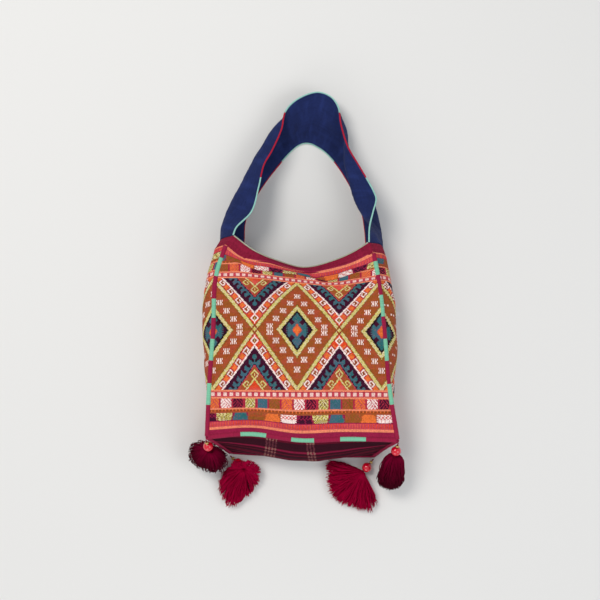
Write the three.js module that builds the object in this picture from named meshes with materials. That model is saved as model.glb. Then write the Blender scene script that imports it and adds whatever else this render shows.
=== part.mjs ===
// A boxy shoulder bag of flat-woven cloth, with a broad cloth strap and a tassel at each bottom corner.
// Millimetres. The bag lies on its back panel at z = 0: +Z is the front panel's outward normal,
// +Y runs from the bottom of the bag to the mouth and the strap, and +X is to the right.
import * as THREE from 'three';

// Driving dimensions
const bagDepth = 84; // height of the front seams above the ground
const clothThickness = 3; // thickness of the panels, the hem and the strap
const backSeamHeight = 3.6; // centre line of the seams that lie on the ground
const strapEdgeHeight = 2.2; // centre line of the strap's edging where it lies on the ground
const mouthSag = 30; // how far the front of the mouth hangs into the bag
const seamRadius = 3.4; // overcast yarn along the seams
const edgingRadius = 1.4; // overcast yarn along the mouth and the strap
const seamInset = 4.2; // from a seam's centre line to the edge of the cloth beside it
const slantedInset = 5.9; // the same, measured along the bag where the corner seams run at a slant
const edgingInset = 2.8; // from an edging's centre line to the edge of the strap
const buttGap = 0.5; // between pieces that meet edge to edge
const strapEndGap = 1.2; // from the hem's edge to each end of the strap
const seamEndGap = 8.5; // from a corner to the end of each seam that meets there
const hemEdgeOffset = 2.4; // from the hem's edge to the centre line of its edging
const gussetBulge = 9.5; // how far a gusset swells past the cloth stretched between its edges
const frontCrown = 12; // how far the front panel swells
const bottomBulge = 20; // how far the bottom panel swells
const cordRadius = 1.1;
const boreRadius = 1.5; // hole through a bead
const brassBeadRadius = 2.8;
const redBeadRadius = 8;
const beadGap = 0.4; // between the pieces threaded on a tassel's cord
const cordEndGap = 2.2; // from the end of the cord to the top of the skirt, which may hang at an angle

// Rough sizes of the cloth, which turn the insets into shares of a panel or of the strap
const panelLength = 318;
const panelWidth = 250;
const gussetWidth = 92;
const strapLength = 560;

// Mesh resolution
const acrossPanel = 12;
const alongPanel = 16;
const acrossGusset = 8;
const alongStrap = 44;
const acrossStrap = 6;
const tubeSides = 6;

// Colours
const colours = {
  brocade: 0xb0562a,
  striped: 0x431020,
  crimson: 0x8e1a36,
  magenta: 0x8c2450,
  mint: 0x6fb795,
  navy: 0x141f4c,
  yarn: 0x5c0a1e,
  red: 0xc8102a,
  brass: 0xb98f45,
};

const point = (x, y, z) => new THREE.Vector3(x, y, z);
const spline = (...points) => new THREE.CatmullRomCurve3(points);
const reversed = (curve) => spline(...curve.points.slice().reverse());
const mix = (a, b, t) => new THREE.Vector3().lerpVectors(a, b, t);
const swell = (t) => Math.sin(Math.PI * t);

function material(colour, roughness, metalness = 0) {
  return new THREE.MeshStandardMaterial({ color: colour, roughness, metalness });
}

const finishes = {
  brocade: material(colours.brocade, 0.9),
  striped: material(colours.striped, 0.9),
  hem: material(colours.crimson, 0.9),
  seamYarn: material(colours.magenta, 0.8),
  edgingYarn: material(colours.mint, 0.8),
  strap: material(colours.navy, 0.9),
  tasselYarn: material(colours.yarn, 0.85),
  redBead: material(colours.red, 0.3),
  brass: material(colours.brass, 0.35, 1),
};

// Corners of the shell. The back panel has slid down past the front, so the bottom panel slants.
const front = {
  bottomLeft: point(-150, -147, bagDepth),
  bottomRight: point(151, -152, bagDepth),
  bandLeft: point(-120, 157, bagDepth),
  bandRight: point(113, 145, bagDepth),
  mouthLeft: point(-109, 171, bagDepth),
  mouthRight: point(106, 160, bagDepth),
};
const back = {
  bottomLeft: point(-118, -182, backSeamHeight),
  bottomRight: point(118, -188, backSeamHeight),
  bandLeft: point(-104, 110, backSeamHeight),
  bandRight: point(107, 99, backSeamHeight),
  mouthLeft: point(-99, 126, backSeamHeight),
  mouthRight: point(104, 115, backSeamHeight),
};

// Centre lines of the seams
const frontLeftSeam = spline(
  front.bottomLeft,
  point(-146, -60, bagDepth),
  point(-140, 22, bagDepth),
  point(-136, 105, bagDepth),
  front.bandLeft,
);
const frontRightSeam = spline(
  front.bottomRight,
  point(137, -60, bagDepth),
  point(130, 22, bagDepth),
  point(122, 95, bagDepth),
  front.bandRight,
);
const frontBottomSeam = spline(
  front.bottomLeft,
  point(-82, -142, bagDepth),
  point(0, -152, bagDepth),
  point(72, -150, bagDepth),
  front.bottomRight,
);
const backLeftSeam = spline(
  back.bottomLeft,
  point(-124, -100, backSeamHeight),
  point(-126, 0, backSeamHeight),
  back.bandLeft,
);
const backRightSeam = spline(
  back.bottomRight,
  point(126, -100, backSeamHeight),
  point(126, 0, backSeamHeight),
  back.bandRight,
);
const backBottomSeam = spline(
  back.bottomLeft,
  point(-50, -186, backSeamHeight),
  point(50, -188, backSeamHeight),
  back.bottomRight,
);
const leftCornerSeam = spline(front.bottomLeft, point(-134, -163, 46), back.bottomLeft);
const rightCornerSeam = spline(front.bottomRight, point(135, -168, 46), back.bottomRight);

// The mouth's edge on each side, and the same line at the lower edge of the hem.
function loweredCurve(upper, from, to) {
  const startDrop = from.clone().sub(upper.getPoint(0));
  const endDrop = to.clone().sub(upper.getPoint(1));
  const steps = 12;
  const points = [];
  for (let i = 0; i <= steps; i += 1) {
    const t = i / steps;
    points.push(upper.getPointAt(t).add(mix(startDrop, endDrop, t)));
  }
  return spline(...points);
}

const mouthFront = spline(
  front.mouthLeft,
  point(-76, 147, bagDepth - 0.2 * mouthSag),
  point(-38, 131, bagDepth - 0.7 * mouthSag),
  point(4, 121, bagDepth - mouthSag),
  point(49, 131, bagDepth - 0.7 * mouthSag),
  point(82, 145, bagDepth - 0.2 * mouthSag),
  front.mouthRight,
);
const mouthBack = spline(
  back.mouthLeft,
  point(-52, 92, backSeamHeight),
  point(3, 76, backSeamHeight),
  point(56, 86, backSeamHeight),
  back.mouthRight,
);
const mouthLeft = spline(front.mouthLeft, point(-129, 165, 62), point(-128, 147, 27), back.mouthLeft);
const mouthRight = spline(front.mouthRight, point(126, 157, 62), point(130, 141, 30), back.mouthRight);
const bandFront = loweredCurve(mouthFront, front.bandLeft, front.bandRight);
const bandBack = loweredCurve(mouthBack, back.bandLeft, back.bandRight);
const bandLeft = loweredCurve(mouthLeft, front.bandLeft, back.bandLeft);
const bandRight = loweredCurve(mouthRight, front.bandRight, back.bandRight);

// A surface stretched between four edge curves. Low and high run the same way, and so do start and end.
function stretchedCloth(low, high, start, end, bulge) {
  const corners = [low.getPoint(0), low.getPoint(1), high.getPoint(0), high.getPoint(1)];
  return (u, v) => {
    const surface = mix(low.getPointAt(u), high.getPointAt(u), v);
    surface.add(mix(start.getPointAt(v), end.getPointAt(v), u));
    surface.sub(mix(mix(corners[0], corners[1], u), mix(corners[2], corners[3], u), v));
    return surface.addScaledVector(bulge, swell(u) * swell(v));
  };
}

// The strap's cloth: at each station, two edge points and two points on the fold between them.
const strapStations = [
  [front.mouthLeft, point(-129, 166.5, 62), point(-128, 148.5, 27), point(-99, 127.5, backSeamHeight)],
  [point(-104, 184, 82), point(-127, 190, 60), point(-119, 177, 25), point(-96, 165, strapEdgeHeight)],
  [point(-80, 210, 76), point(-113, 225, 55), point(-108, 215, 20), point(-94, 198, strapEdgeHeight)],
  [point(-69, 250, 66), point(-98, 255, 48), point(-94, 245, 17), point(-82, 230, strapEdgeHeight)],
  [point(-61, 286, 58), point(-81, 292, 42), point(-74, 281, 16), point(-60, 265, strapEdgeHeight)],
  [point(-48, 310, 54), point(-62, 323, 39), point(-53, 312, 15), point(-39, 292, strapEdgeHeight)],
  [point(-33, 345, 47), point(-44, 352, 34), point(-31, 335, 16), point(-20, 314, strapEdgeHeight)],
  [point(-26, 376, 41), point(-23, 366, 34), point(-13, 345, 17), point(-7, 325, strapEdgeHeight)],
  [point(-5, 397, 35), point(-3, 380, 30), point(1, 354, 16), point(3, 329, strapEdgeHeight)],
  [point(26, 408, 30), point(22, 385, 27), point(17, 357, 15), point(14, 328.5, strapEdgeHeight)],
  [point(47, 400, 33), point(39, 379, 30), point(31, 351, 16), point(26, 323, strapEdgeHeight)],
  [point(59, 382, 40), point(59, 368, 34), point(51, 340, 16), point(38, 315, strapEdgeHeight)],
  [point(63, 354, 46), point(72, 348, 32), point(68, 326, 13), point(50, 303, strapEdgeHeight)],
  [point(74, 316, 54), point(68, 314, 45), point(81, 300, 20), point(64, 285, strapEdgeHeight)],
  [point(90, 287, 60), point(69, 288, 48), point(90, 277, 22), point(78, 262, strapEdgeHeight)],
  [point(103, 264, 65), point(74, 265, 51), point(105, 252, 24), point(91, 238, strapEdgeHeight)],
  [point(114, 243, 70), point(80, 244, 53), point(117, 229, 26), point(100, 212, strapEdgeHeight)],
  [point(118, 230, 73), point(86, 227, 55), point(123, 208, 28), point(104, 188, strapEdgeHeight)],
  [point(113, 210, 78), point(97, 206, 61), point(128, 186, 30), point(106, 164, strapEdgeHeight)],
  [point(107, 185, 82), point(113, 182, 66), point(131, 165, 31), point(105, 140, strapEdgeHeight)],
  [front.mouthRight, point(126, 158.5, 62), point(130, 142.5, 30), point(104, 116.5, backSeamHeight)],
];
const strapLine = (row) => spline(...strapStations.map((station) => station[row]));
const strapLines = [0, 1, 2, 3].map(strapLine);
const strapFrontEdge = strapLines[0];
const strapBackEdge = strapLines[3];

// The strap's cloth leaves room for the edging on each side.
function strapSurface(across, along) {
  const section = spline(...strapLines.map((line) => line.getPoint(along)));
  const inset = edgingInset / section.getLength();
  return section.getPointAt(THREE.MathUtils.lerp(inset, 1 - inset, across));
}

function closedGeometry(positions, indices) {
  const geometry = new THREE.BufferGeometry();
  geometry.setAttribute('position', new THREE.Float32BufferAttribute(positions, 3));
  geometry.setIndex(indices);
  geometry.computeVertexNormals();
  return geometry;
}

function normalOf(surface, u, v) {
  const nudge = 1e-3;
  const across = surface(Math.min(u + nudge, 1), v).sub(surface(Math.max(u - nudge, 0), v));
  const along = surface(u, Math.min(v + nudge, 1)).sub(surface(u, Math.max(v - nudge, 0)));
  return across.cross(along).normalize();
}

// Gives a surface the cloth's thickness: a grid of points on each face, joined round the edges.
function clothSolid(surface, columns, rows, uRange, vRange) {
  const positions = [];
  const indices = [];
  for (const side of [0.5, -0.5]) {
    for (let j = 0; j <= rows; j += 1) {
      for (let i = 0; i <= columns; i += 1) {
        const u = THREE.MathUtils.lerp(uRange[0], uRange[1], i / columns);
        const v = THREE.MathUtils.lerp(vRange[0], vRange[1], j / rows);
        const place = surface(u, v).addScaledVector(normalOf(surface, u, v), side * clothThickness);
        positions.push(place.x, place.y, place.z);
      }
    }
  }
  const faceSize = (columns + 1) * (rows + 1);
  const at = (i, j, face) => face * faceSize + j * (columns + 1) + i;
  const quad = (a, b, c, d) => indices.push(a, b, c, a, c, d);
  for (let j = 0; j < rows; j += 1) {
    for (let i = 0; i < columns; i += 1) {
      quad(at(i, j, 0), at(i + 1, j, 0), at(i + 1, j + 1, 0), at(i, j + 1, 0));
      quad(at(i, j, 1), at(i, j + 1, 1), at(i + 1, j + 1, 1), at(i + 1, j, 1));
    }
  }
  for (let i = 0; i < columns; i += 1) {
    quad(at(i, 0, 1), at(i + 1, 0, 1), at(i + 1, 0, 0), at(i, 0, 0));
    quad(at(i, rows, 0), at(i + 1, rows, 0), at(i + 1, rows, 1), at(i, rows, 1));
  }
  for (let j = 0; j < rows; j += 1) {
    quad(at(0, j, 0), at(0, j + 1, 0), at(0, j + 1, 1), at(0, j, 1));
    quad(at(columns, j, 1), at(columns, j + 1, 1), at(columns, j + 1, 0), at(columns, j, 0));
  }
  return closedGeometry(positions, indices);
}

function pieceOf(name, geometry, finish) {
  const mesh = new THREE.Mesh(geometry, finish);
  mesh.name = name;
  return mesh;
}

// A panel stops short of the seams that join it to its neighbours, and of the hem.
function panel(name, surface, columns, width, finish) {
  const uRange = [seamInset / width, 1 - seamInset / width];
  const vRange = [slantedInset / panelLength, 1 - buttGap / panelLength];
  return pieceOf(name, clothSolid(surface, columns, alongPanel, uRange, vRange), finish);
}

function panels() {
  const frontCloth = stretchedCloth(
    frontBottomSeam,
    bandFront,
    frontLeftSeam,
    frontRightSeam,
    point(0, 0, frontCrown),
  );
  const backCloth = stretchedCloth(backBottomSeam, bandBack, backLeftSeam, backRightSeam, point(0, 0, 0));
  const backOnGround = (u, v) => backCloth(u, v).setZ(clothThickness / 2);
  const leftCloth = stretchedCloth(
    leftCornerSeam,
    bandLeft,
    frontLeftSeam,
    backLeftSeam,
    point(-gussetBulge, 0, 0),
  );
  const rightCloth = stretchedCloth(
    rightCornerSeam,
    bandRight,
    frontRightSeam,
    backRightSeam,
    point(gussetBulge, 0, 0),
  );
  return [
    panel('front_panel', frontCloth, acrossPanel, panelWidth, finishes.brocade),
    panel('back_panel', backOnGround, acrossPanel, panelWidth, finishes.brocade),
    panel('left_gusset', leftCloth, acrossGusset, gussetWidth, finishes.brocade),
    panel('right_gusset', rightCloth, acrossGusset, gussetWidth, finishes.brocade),
  ];
}

function bottomPanel() {
  const cloth = stretchedCloth(
    leftCornerSeam,
    rightCornerSeam,
    frontBottomSeam,
    backBottomSeam,
    point(0, -bottomBulge, 0),
  );
  const uRange = [seamInset / gussetWidth, 1 - seamInset / gussetWidth];
  const vRange = [slantedInset / panelWidth, 1 - slantedInset / panelWidth];
  const solid = clothSolid(cloth, acrossGusset, acrossPanel, uRange, vRange);
  return pieceOf('bottom_panel', solid, finishes.striped);
}

// The hem is one band right round the mouth.
function mouthBand() {
  const sides = [
    [mouthFront, bandFront, acrossPanel],
    [mouthRight, bandRight, acrossGusset],
    [reversed(mouthBack), reversed(bandBack), acrossPanel],
    [reversed(mouthLeft), reversed(bandLeft), acrossGusset],
  ];
  const upper = [];
  const lower = [];
  for (const [high, low, steps] of sides) {
    for (let i = 0; i < steps; i += 1) {
      upper.push(high.getPointAt(i / steps));
      lower.push(low.getPointAt(i / steps));
    }
  }
  const count = upper.length;
  const positions = [];
  const indices = [];
  for (let i = 0; i < count; i += 1) {
    const round = upper[(i + 1) % count].clone().sub(upper[(i + count - 1) % count]);
    const outward = lower[i].clone().sub(upper[i]).cross(round).normalize();
    for (const [edge, side] of [[lower[i], 0.5], [upper[i], 0.5], [upper[i], -0.5], [lower[i], -0.5]]) {
      const place = edge.clone().addScaledVector(outward, side * clothThickness);
      positions.push(place.x, place.y, place.z);
    }
  }
  for (let i = 0; i < count; i += 1) {
    const next = (i + 1) % count;
    for (let k = 0; k < 4; k += 1) {
      const [a, b] = [4 * i + k, 4 * i + ((k + 1) % 4)];
      const [c, d] = [4 * next + ((k + 1) % 4), 4 * next + k];
      indices.push(a, c, b, a, d, c);
    }
  }
  return pieceOf('mouth_band', closedGeometry(positions, indices), finishes.hem);
}

function strap() {
  const along = [strapEndGap / strapLength, 1 - strapEndGap / strapLength];
  return pieceOf('strap', clothSolid(strapSurface, acrossStrap, alongStrap, [0, 1], along), finishes.strap);
}

// A yarn of round section along a curve, cut back at both ends.
function yarn(name, curve, radius, steps, cutBack, finish) {
  const cut = cutBack / curve.getLength();
  const points = [];
  for (let i = 0; i <= steps; i += 1) {
    points.push(curve.getPointAt(cut + (1 - 2 * cut) * (i / steps)));
  }
  const section = new THREE.Shape();
  section.absarc(0, 0, radius, 0, 2 * Math.PI);
  const geometry = new THREE.ExtrudeGeometry(section, {
    steps,
    curveSegments: tubeSides / 2,
    bevelEnabled: false,
    extrudePath: spline(...points),
  });
  return pieceOf(name, geometry, finish);
}

function seams() {
  const lines = {
    front_seam_left: [frontLeftSeam, alongPanel],
    front_seam_right: [frontRightSeam, alongPanel],
    front_seam_bottom: [frontBottomSeam, acrossPanel],
    back_seam_left: [backLeftSeam, alongPanel],
    back_seam_right: [backRightSeam, alongPanel],
    back_seam_bottom: [backBottomSeam, acrossPanel],
    corner_seam_left: [leftCornerSeam, acrossGusset],
    corner_seam_right: [rightCornerSeam, acrossGusset],
  };
  return Object.entries(lines).map(([name, [curve, steps]]) =>
    yarn(name, curve, seamRadius, steps, seamEndGap, finishes.seamYarn),
  );
}

function edgings() {
  const beyondHem = (curve) => spline(...curve.points.map((p) => p.clone().setY(p.y + hemEdgeOffset)));
  return [
    yarn('mouth_edging_front', beyondHem(mouthFront), edgingRadius, 20, 5, finishes.edgingYarn),
    yarn('mouth_edging_back', beyondHem(mouthBack), edgingRadius, 20, 5, finishes.edgingYarn),
    yarn('strap_edging_front', strapFrontEdge, edgingRadius, alongStrap, 3, finishes.edgingYarn),
    yarn('strap_edging_back', strapBackEdge, edgingRadius, alongStrap, 3, finishes.edgingYarn),
  ];
}

// A bead with its bore along Z, hanging from z = 0.
function beadGeometry(radius) {
  const profile = [];
  const steps = 6;
  const start = Math.asin(boreRadius / radius);
  for (let i = 0; i <= steps; i += 1) {
    const angle = start + (Math.PI - 2 * start) * (i / steps);
    profile.push(new THREE.Vector2(radius * Math.sin(angle), -radius * Math.cos(angle)));
  }
  profile.push(profile[0].clone());
  const geometry = new THREE.LatheGeometry(profile, 12);
  geometry.rotateX(Math.PI / 2);
  geometry.translate(0, 0, -radius);
  return geometry;
}

// A bundle of yarn hanging down from z = 0, by rows of depth, half width and half thickness.
function bundleGeometry(rows) {
  const sides = 14;
  const positions = [0, 0, -rows[0][0]];
  const indices = [];
  for (const [depth, halfWidth, halfThickness] of rows) {
    for (let k = 0; k < sides; k += 1) {
      const angle = (2 * Math.PI * k) / sides;
      positions.push(halfWidth * Math.cos(angle), halfThickness * Math.sin(angle), -depth);
    }
  }
  positions.push(0, 0, -rows[rows.length - 1][0]);
  const end = 1 + rows.length * sides;
  for (let k = 0; k < sides; k += 1) {
    const next = (k + 1) % sides;
    indices.push(0, 1 + k, 1 + next);
    for (let j = 0; j < rows.length - 1; j += 1) {
      const [a, b] = [1 + j * sides + k, 1 + j * sides + next];
      const [c, d] = [b + sides, a + sides];
      indices.push(a, d, c, a, c, b);
    }
    const last = end - sides;
    indices.push(end, last + next, last + k);
  }
  return closedGeometry(positions, indices);
}

// Turns a piece that hangs down so that it points along a direction, with its width level.
function pointAlong(piece, direction) {
  const back = direction.clone().normalize().negate();
  const level = point(0, 0, 1).cross(back);
  if (level.length() < 1e-6) level.set(1, 0, 0);
  level.normalize();
  const thick = back.clone().cross(level);
  piece.quaternion.setFromRotationMatrix(new THREE.Matrix4().makeBasis(level, thick, back));
}

// Each tassel hangs on its cord from a pivot just outside the bag's corner. The skirt is the loose yarn, by
// rows of depth, half width and half thickness. The two at the back lie on the ground as flat fans.
const tasselPlans = {
  front_left: {
    pivot: point(-152, -152.5, 80),
    cord: 5,
    neck: 0.8,
    hang: point(0.12, -0.62, -0.78),
    skirt: point(-0.2, -0.42, -0.885),
    rows: [
      [0, 5, 5], [3, 10, 9], [8, 16, 13], [15, 22, 18],
      [24, 27, 21.5], [34, 30.5, 24], [44, 31, 24], [50, 27, 21],
    ],
  },
  front_right: {
    pivot: point(152.5, -157, 80),
    cord: 5,
    neck: 0.8,
    hang: point(-0.12, -0.75, -0.65),
    skirt: point(-0.1, -0.82, -0.56),
    rows: [
      [0, 5, 5], [3, 10, 9], [8, 15, 13], [14, 18, 15],
      [28, 20, 17], [46, 21, 17], [62, 20.5, 15], [70, 17, 12],
    ],
  },
  back_left: {
    pivot: point(-118, -187.5, 9.6),
    cord: 3,
    neck: 6,
    hang: point(0.72, -0.69, 0),
    skirt: point(-0.3, -0.954, 0),
    rows: [
      [0, 4.5, 4.5], [3, 10, 8.5], [8, 18, 9], [16, 26, 9],
      [26, 31, 9], [38, 32, 9], [50, 28, 8.5], [60, 16, 7],
    ],
  },
  back_right: {
    pivot: point(118, -193, 9.6),
    cord: 3,
    neck: 0.8,
    hang: point(-0.62, -0.78, 0),
    skirt: point(-0.68, -0.73, 0),
    rows: [
      [0, 4.5, 4.5], [2.5, 9, 8.5], [6, 18, 9], [12, 31, 9],
      [20, 42, 9], [32, 50, 9], [44, 47, 8.5], [62, 22, 7],
    ],
  },
};

function tassel(corner, { pivot, cord, neck, hang, skirt, rows }) {
  const brassTop = cord + beadGap;
  const redTop = brassTop + 2 * brassBeadRadius + beadGap;
  const skirtTop = redTop + 2 * redBeadRadius + neck;
  const cordLength = skirtTop - cordEndGap;

  const threaded = new THREE.Group();
  threaded.position.copy(pivot);
  pointAlong(threaded, hang);

  const cordGeometry = new THREE.CylinderGeometry(cordRadius, cordRadius, cordLength, 8);
  cordGeometry.rotateX(Math.PI / 2);
  cordGeometry.translate(0, 0, -cordLength / 2);
  const brassBead = pieceOf(`${corner}_brass_bead`, beadGeometry(brassBeadRadius), finishes.brass);
  brassBead.position.z = -brassTop;
  const redBead = pieceOf(`${corner}_red_bead`, beadGeometry(redBeadRadius), finishes.redBead);
  redBead.position.z = -redTop;
  threaded.add(pieceOf(`${corner}_tassel_cord`, cordGeometry, finishes.tasselYarn), brassBead, redBead);

  const yarns = pieceOf(`${corner}_tassel`, bundleGeometry(rows), finishes.tasselYarn);
  yarns.position.copy(pivot).addScaledVector(hang.clone().normalize(), skirtTop);
  pointAlong(yarns, skirt);

  const group = new THREE.Group();
  group.add(threaded, yarns);
  return group;
}

const bag = new THREE.Group();
bag.add(...panels(), bottomPanel(), mouthBand(), ...seams(), strap(), ...edgings());
for (const [corner, plan] of Object.entries(tasselPlans)) {
  bag.add(tassel(corner, plan));
}

export default bag;
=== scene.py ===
"""A boxy flat-woven shoulder bag with a broad cloth strap and four beaded tassels, lying on its back.

Lengths are millimetres until a mesh is made. +Z is the front panel's outward normal, +Y runs to the strap.
"""

import math

import bpy
import numpy as np
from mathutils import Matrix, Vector


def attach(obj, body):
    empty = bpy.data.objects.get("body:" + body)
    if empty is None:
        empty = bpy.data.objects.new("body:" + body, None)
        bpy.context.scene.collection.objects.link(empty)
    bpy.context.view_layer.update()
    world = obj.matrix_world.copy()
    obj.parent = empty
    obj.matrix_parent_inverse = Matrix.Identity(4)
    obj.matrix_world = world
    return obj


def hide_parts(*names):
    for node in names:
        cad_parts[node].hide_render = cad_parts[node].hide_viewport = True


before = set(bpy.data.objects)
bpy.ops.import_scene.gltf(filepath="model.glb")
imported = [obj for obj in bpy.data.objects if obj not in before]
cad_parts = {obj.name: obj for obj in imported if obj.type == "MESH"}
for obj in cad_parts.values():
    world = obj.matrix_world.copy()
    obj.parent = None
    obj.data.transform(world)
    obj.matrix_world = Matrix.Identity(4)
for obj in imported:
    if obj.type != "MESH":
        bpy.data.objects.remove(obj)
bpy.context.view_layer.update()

MM = 0.001

# The shell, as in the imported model
DEPTH = 84.0
BOTTOM_DEPTH = 92.0
BOTTOM_WIDTH = 270.0
GROUND_SEAM = 3.6
GROUND_EDGE = 2.2
CLOTH = 1.8
STRAP_CLOTH = 1.9
HEM_CLOTH = 2.4
HEM_ROLL = 15.0
SEAM_RADIUS = 3.9
STRAP_EDGING = 1.35
MOUTH_EDGING = 1.2
CORD_RADIUS = 1.05

# The weave: a cell is one stitch of the brocade, and its size and the pattern's middle are in millimetres
CELL = 1.39
PATTERN_CENTRE = -7.7

# The pattern, in cells
HALF_WIDTH = 48.0
HALF_HEIGHT = 63.0
FIELD_START = 54.0
CROSSING = FIELD_START + HALF_HEIGHT
FIELD_END = FIELD_START + 2 * HALF_HEIGHT
CLOTH_END = 226.0
SQUARE_PITCH = 13.83
TRAPEZOID_PITCH = 18.2
HOOK_PITCH = 14.6
TOOTH_PITCH = 7.25

# Beads and yarn of the tassels
BRASS_RADIUS = 2.8
RED_RADIUS = 8.0
BORE = 1.5
BEAD_GAP = 0.4
YARN_RADIUS = 0.6
YARN_SIDES = 4

# Camera, straight above the bag
CAMERA_PLACE = (-3.0, 69.5, 1785.0)
CAMERA_VIEW_DEGREES = 31.14


def srgb(red, green, blue):
    """A colour written as 0 to 255 for the screen, as the linear values that shaders take."""
    def linear(value):
        value /= 255
        return value / 12.92 if value <= 0.04045 else ((value + 0.055) / 1.055) ** 2.4
    return np.array([linear(red), linear(green), linear(blue), 1.0])


PALETTE = {name: srgb(*screen) for name, screen in {
    "rust": (166, 78, 36), "yellow_green": (204, 190, 98), "orange_red": (218, 66, 34),
    "brown": (146, 66, 28), "white": (246, 222, 214), "pale_pink": (240, 198, 188), "plum": (62, 12, 40),
    "dark": (38, 8, 24), "teal": (42, 104, 106), "blue": (74, 100, 122), "orange": (228, 112, 52),
    "coral": (236, 134, 100), "rose": (196, 66, 80), "pink": (214, 92, 88), "magenta": (150, 28, 66),
    "crimson": (172, 40, 62), "olive": (126, 88, 30),
}.items()}
COLOURS = np.array(list(PALETTE.values()))
CODE = {name: k for k, name in enumerate(PALETTE)}
RAISED = {"white": 0.45, "yellow_green": 0.4, "orange": 0.25, "coral": 0.25, "orange_red": 0.2, "rust": 0.15}
LIFTS = np.array([RAISED.get(name, 0.0) for name in PALETTE])

HEM_RED = srgb(132, 24, 52)
STRAP_NAVY = srgb(28, 39, 84)
STRIPES = [srgb(52, 6, 24), srgb(92, 8, 34), srgb(132, 20, 56)]
CHECKS = [srgb(92, 40, 50), srgb(138, 92, 84)]
MINT = srgb(124, 192, 158)
WINE = srgb(150, 28, 64)
CRIMSON = srgb(172, 26, 50)
PALE_GREEN = srgb(168, 168, 148)
PALE_MINT = srgb(146, 196, 184)
LOOSE_THREAD = srgb(214, 214, 220)
CORD_WINE = srgb(120, 6, 36)
BRASS_GOLD = srgb(202, 172, 108)
BEAD_RED = srgb(212, 0, 38)
FAN_CRIMSON = srgb(148, 0, 46)
# Painted shade: the front tassels' yarn is the fans' crimson darkened as if it lay in shadow
SHADED_BUNDLE_CRIMSON = srgb(90, 0, 30)
FLOOR_GREY = srgb(226, 224, 220)


# Curves and surfaces

def table_rows(places, values, wanted):
    """The row before each wanted place, the step to the next row and the share of it, to suit the values."""
    wanted = np.clip(np.asarray(wanted, float), places[0], places[-1])
    index = np.clip(np.searchsorted(places, wanted) - 1, 0, len(places) - 2)
    span = places[index + 1] - places[index]
    shape = span.shape + (1,) * (values.ndim - 1)
    return index, span.reshape(shape), ((wanted - places[index]) / span).reshape(shape)


def read_table(places, values, wanted):
    """Values of any shape, read between rows by straight lines."""
    index, _, t = table_rows(places, values, wanted)
    return values[index] * (1 - t) + values[index + 1] * t


def smooth_table(places, values, wanted):
    """Values of any shape, read between rows by a smooth curve through every row."""
    places = np.asarray(places, float)
    values = np.asarray(values, float)
    slope = np.gradient(values, places, axis=0)
    index, span, t = table_rows(places, values, wanted)
    return eased(values[index], values[index + 1], slope[index] * span, slope[index + 1] * span, t)


def eased(before, after, leave, arrive, t):
    """A cubic from one value to the next, with the slopes at its two ends."""
    start = before * (2 * t**3 - 3 * t**2 + 1) + leave * (t**3 - 2 * t**2 + t)
    return start + after * (3 * t**2 - 2 * t**3) + arrive * (t**3 - t**2)


class Curve:
    """A smooth curve through points, read by share of its length or by share of its stations."""

    def __init__(self, points, spans=40):
        points = np.asarray(points, float)
        padded = np.vstack([2 * points[0] - points[1], points, 2 * points[-1] - points[-2]])
        gaps = np.maximum(np.linalg.norm(np.diff(padded, axis=0), axis=1) ** 0.5, 1e-6)
        t = np.linspace(0, 1, spans, endpoint=False)[:, None]
        pieces = []
        for k in range(len(points) - 1):
            p0, p1, p2, p3 = padded[k : k + 4]
            g0, g1, g2 = gaps[k : k + 3]
            leave = ((p1 - p0) / g0 - (p2 - p0) / (g0 + g1) + (p2 - p1) / g1) * g1
            arrive = ((p2 - p1) / g1 - (p3 - p1) / (g1 + g2) + (p3 - p2) / g2) * g1
            pieces.append(eased(p1, p2, leave, arrive, t))
        self.points = points
        self.dense = np.vstack(pieces + [points[-1:]])
        reach = distance_along(self.dense)
        self.length = reach[-1]
        self.shares = reach / reach[-1]
        self.stations = np.linspace(0, 1, len(self.dense))

    def at(self, share):
        return read_table(self.shares, self.dense, share)

    def by_station(self, share):
        return read_table(self.stations, self.dense, share)

    def reversed(self):
        return Curve(self.points[::-1])


def distance_along(line):
    """How far along a line each of its points lies."""
    return np.concatenate([[0], np.cumsum(np.linalg.norm(np.diff(line, axis=0), axis=1))])


def stretched(low, high, start, end, u, v, bulge):
    """A surface between four edge curves, for u across and v along, swelling by bulge."""
    low_points, high_points = low.at(u)[None], high.at(u)[None]
    start_points, end_points = start.at(v)[:, None], end.at(v)[:, None]
    u = u[None, :, None]
    v = v[:, None, None]
    corners = [low.at(0.0), low.at(1.0), high.at(0.0), high.at(1.0)]
    flat = (corners[0] * (1 - u) + corners[1] * u) * (1 - v) + (corners[2] * (1 - u) + corners[3] * u) * v
    surface = low_points * (1 - v) + high_points * v + start_points * (1 - u) + end_points * u - flat
    return surface + np.sin(math.pi * u) * np.sin(math.pi * v) * np.asarray(bulge, float)


def unit(vectors):
    """The same directions at a length of one."""
    return vectors / np.maximum(np.linalg.norm(vectors, axis=-1, keepdims=True), 1e-9)


def round_angles(count):
    return np.linspace(0, 2 * math.pi, count, endpoint=False)


def ease(low, high, value):
    t = np.clip((value - low) / (high - low), 0, 1)
    return t * t * (3 - 2 * t)


def crumple(u, v, seed, longest, shortest, waves=7):
    """A gentle random height, from minus one to one, for places in millimetres or cells."""
    random = np.random.default_rng(seed)
    height = np.zeros(np.broadcast(u, v).shape)
    total = 0.0
    for k in range(waves):
        wave = longest * (shortest / longest) ** (k / (waves - 1))
        angle = random.uniform(0, math.pi)
        phase = random.uniform(0, 2 * math.pi)
        size = wave / longest
        place = u * math.cos(angle) + v * math.sin(angle)
        height = height + size * np.sin(2 * math.pi * place / wave + phase)
        total += size
    return height / total


# Meshes

def linked(name, data):
    made = bpy.data.objects.new(name, data)
    bpy.context.scene.collection.objects.link(made)
    return made


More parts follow.
